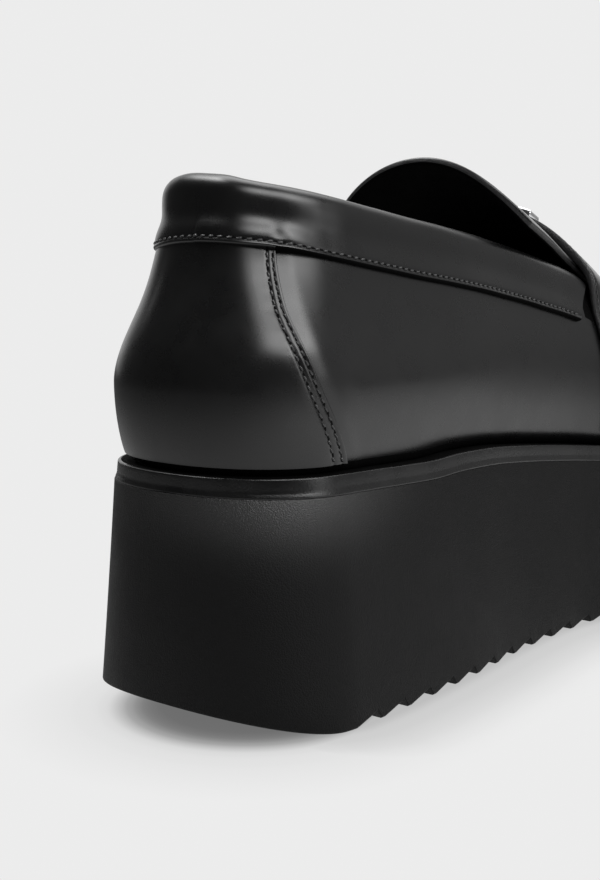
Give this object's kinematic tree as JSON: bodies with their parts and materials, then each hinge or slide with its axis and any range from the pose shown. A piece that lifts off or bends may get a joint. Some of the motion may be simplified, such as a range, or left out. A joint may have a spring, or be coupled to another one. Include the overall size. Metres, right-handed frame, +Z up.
{
  "type": "platform wedge loafer",
  "caption": "Slip-on platform loafer with a hollow polished leather upper, tongue, instep strap and welt on a thick flared wedge sole with a saw-tooth tread.",
  "frame": {"origin": "centre of the shoe's box on the floor plane that the tread stands on", "axes": "+X from heel to toe, +Y to the foot's inner side, +Z up"},
  "size_m": [0.2634, 0.094, 0.1244],
  "materials": {
    "sole_rubber": "matte, finely pebbled",
    "welt_leather": "dull edge-dressed leather",
    "insole_leather": "matte lining leather",
    "polished_leather": "high polish",
    "bar_metal": "polished"
  },
  "bodies": {
    "root": {"sole": "sole_rubber", "welt": "welt_leather", "insole": "insole_leather", "upper": "polished_leather", "heel_counter": "polished_leather", "collar_band": "polished_leather", "tongue_apron": "polished_leather", "strap": "polished_leather", "strap_bar": "bar_metal"}
  },
  "joints": []
}
